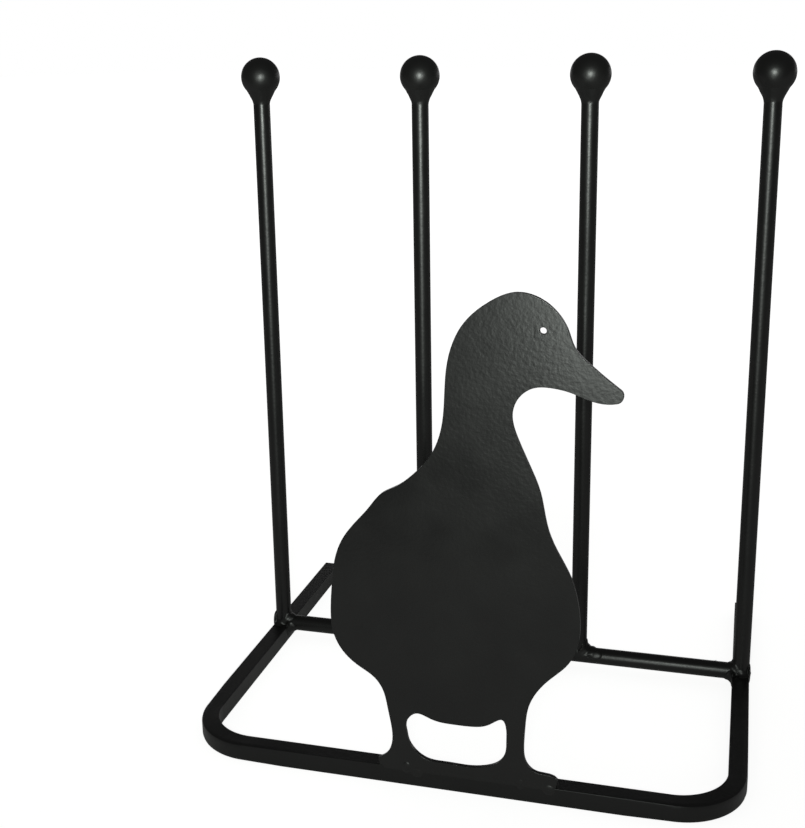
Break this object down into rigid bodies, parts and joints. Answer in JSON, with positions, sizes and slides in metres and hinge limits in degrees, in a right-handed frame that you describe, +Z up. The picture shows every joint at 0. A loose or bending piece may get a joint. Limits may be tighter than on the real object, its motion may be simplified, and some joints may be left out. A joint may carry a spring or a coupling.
{
  "type": "boot rack",
  "caption": "Free-standing welded steel boot rack: ball-topped posts hold upturned wellington boots, on a bent square-bar base with a duck silhouette plate in front.",
  "frame": {"origin": "on the floor, under the middle of the base", "axes": "+Z up; +X to the right for someone facing the duck, towards its bill; +Y from the duck towards the posts and the open back"},
  "size_m": [0.386, 0.3008, 0.455],
  "materials": {
    "bar_coat": "satin black powder coat on drawn steel bar",
    "ball_coat": "satin black powder coat on solid steel balls",
    "plate_coat": "satin black powder coat with a fine orange peel on laser-cut steel sheet",
    "weld_coat": "satin black powder coat over rippled weld beads"
  },
  "bodies": {
    "root": {"base_frame": "bar_coat", "crossbar": "bar_coat", "post_left_outer": "bar_coat", "post_left_inner": "bar_coat", "post_right_inner": "bar_coat", "post_right_outer": "bar_coat", "ball_left_outer": "ball_coat", "ball_left_inner": "ball_coat", "ball_right_inner": "ball_coat", "ball_right_outer": "ball_coat", "duck_plate": "plate_coat", "neck_weld_left_outer": "weld_coat", "neck_weld_left_inner": "weld_coat", "neck_weld_right_inner": "weld_coat", "neck_weld_right_outer": "weld_coat", "foot_weld_left": "weld_coat", "foot_weld_right": "weld_coat", "joint_weld_left": "weld_coat", "joint_weld_right": "weld_coat", "plate_front_tacks": "weld_coat", "plate_back_welds": "weld_coat"}
  },
  "joints": []
}
